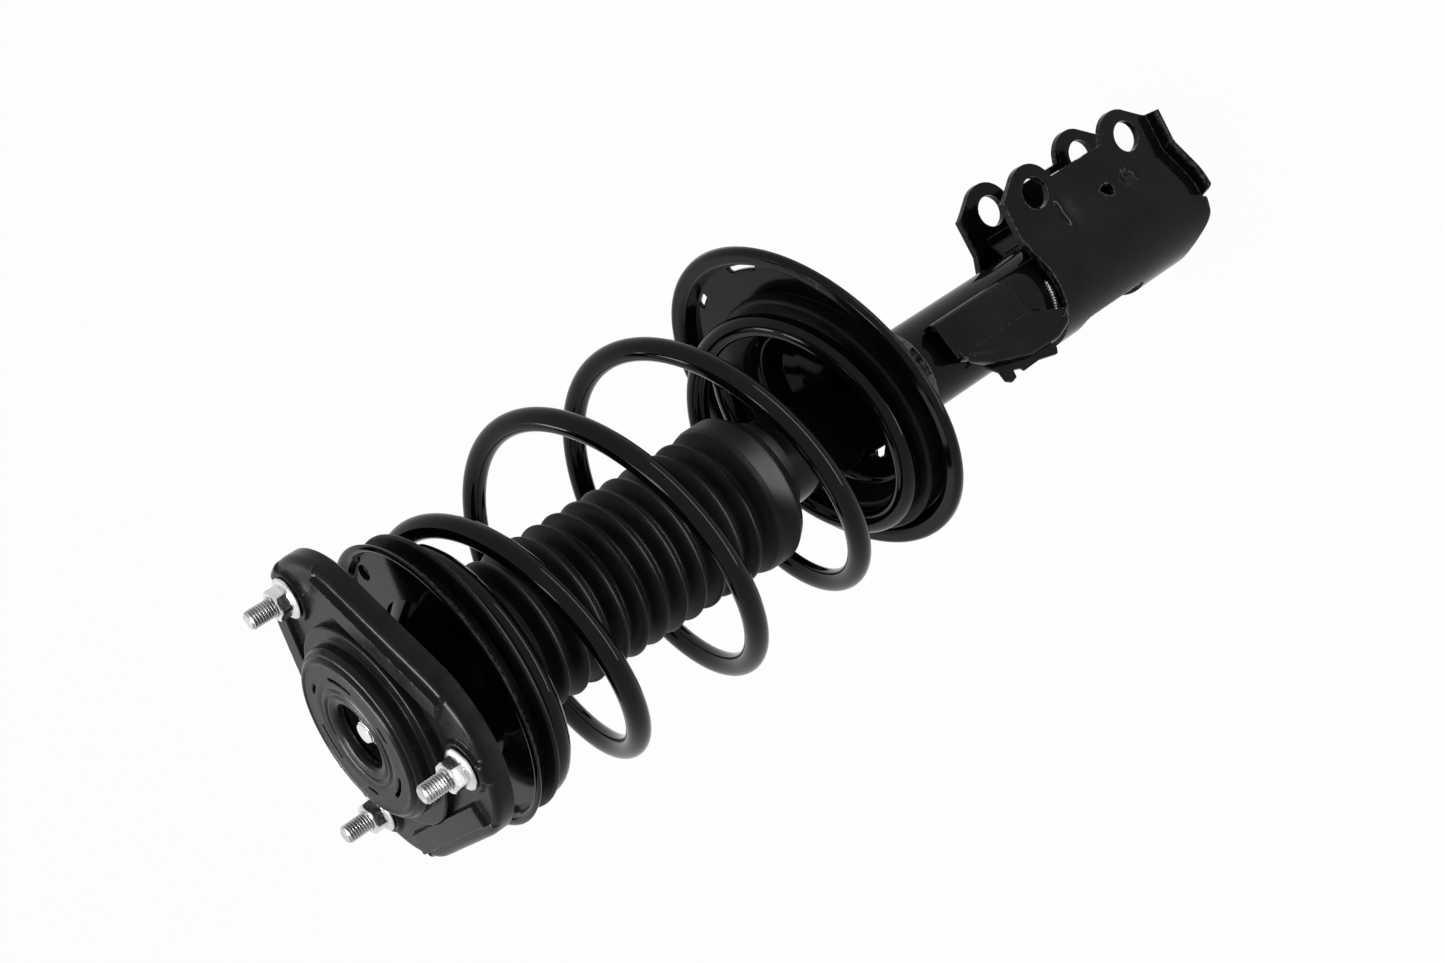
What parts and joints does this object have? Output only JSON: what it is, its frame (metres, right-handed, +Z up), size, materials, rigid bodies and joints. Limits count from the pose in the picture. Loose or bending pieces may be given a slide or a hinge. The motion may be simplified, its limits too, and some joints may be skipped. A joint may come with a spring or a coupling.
{
  "type": "suspension strut assembly",
  "caption": "Front suspension strut: three-stud rotating upper mount, barrel coil spring round a bellows-covered damper, offset lower seat, knuckle clevis and hose bracket.",
  "frame": {"origin": "on the strut's axis, in the plane where the upper mount's lands meet the car body", "axes": "+Z up along the damper's axis, out through the studs; +X from the axis towards the two knuckle bolt holes; +Y completes the right-handed frame"},
  "size_m": [0.1945, 0.1922, 0.6153],
  "materials": {
    "gloss_paint": "gloss black paint",
    "matte_paint": "satin black electrocoat",
    "rubber": "matt moulded rubber",
    "foam": "matt cellular polyurethane",
    "zinc": "bright zinc plate",
    "bright_steel": "ground steel",
    "rod_chrome": "hard chrome",
    "plain_steel": "plain steel"
  },
  "bodies": {
    "top_mount": {"mount_plate": "matte_paint", "hub_disc": "matte_paint", "mount_bushing": "rubber", "bearing_outer_race": "bright_steel", "stud_1": "zinc", "stud_2": "zinc", "stud_3": "zinc", "flange_nut_1": "zinc", "flange_nut_2": "zinc", "flange_nut_3": "zinc"},
    "rod": {"piston_rod": "rod_chrome", "rod_nut": "zinc", "bearing_inner_race": "bright_steel", "bearing_cage": "bright_steel", "upper_spring_seat": "gloss_paint", "upper_insulator": "rubber", "bump_stop": "foam", "dust_boot": "rubber", "coil_spring": "gloss_paint", "piston": "plain_steel", "piston_nut": "plain_steel", "rebound_stop": "rubber"},
    "housing": {"damper_tube": "gloss_paint", "tube_cap": "plain_steel", "rod_seal": "rubber", "rod_guide": "plain_steel", "inner_cylinder": "plain_steel", "base_valve": "plain_steel", "base_cap": "gloss_paint", "lower_spring_seat": "gloss_paint", "lower_insulator": "rubber", "clevis_bracket": "gloss_paint", "clevis_web": "gloss_paint", "hose_bracket": "gloss_paint", "hose_clip": "gloss_paint"}
  },
  "joints": [
    {"name": "steer", "type": "hinge", "parent": "top_mount", "child": "rod", "pos_m": [0, 0, 0], "axis": [0, 0, 1], "range_deg": [-40, 40]},
    {"name": "damper_stroke", "type": "slide", "parent": "rod", "child": "housing", "axis": [0, 0, 1], "range_m": [0, 0.135], "stiffness_N_per_m": 22000, "springref_m": -0.004, "deforming": ["coil_spring", "dust_boot"]}
  ]
}
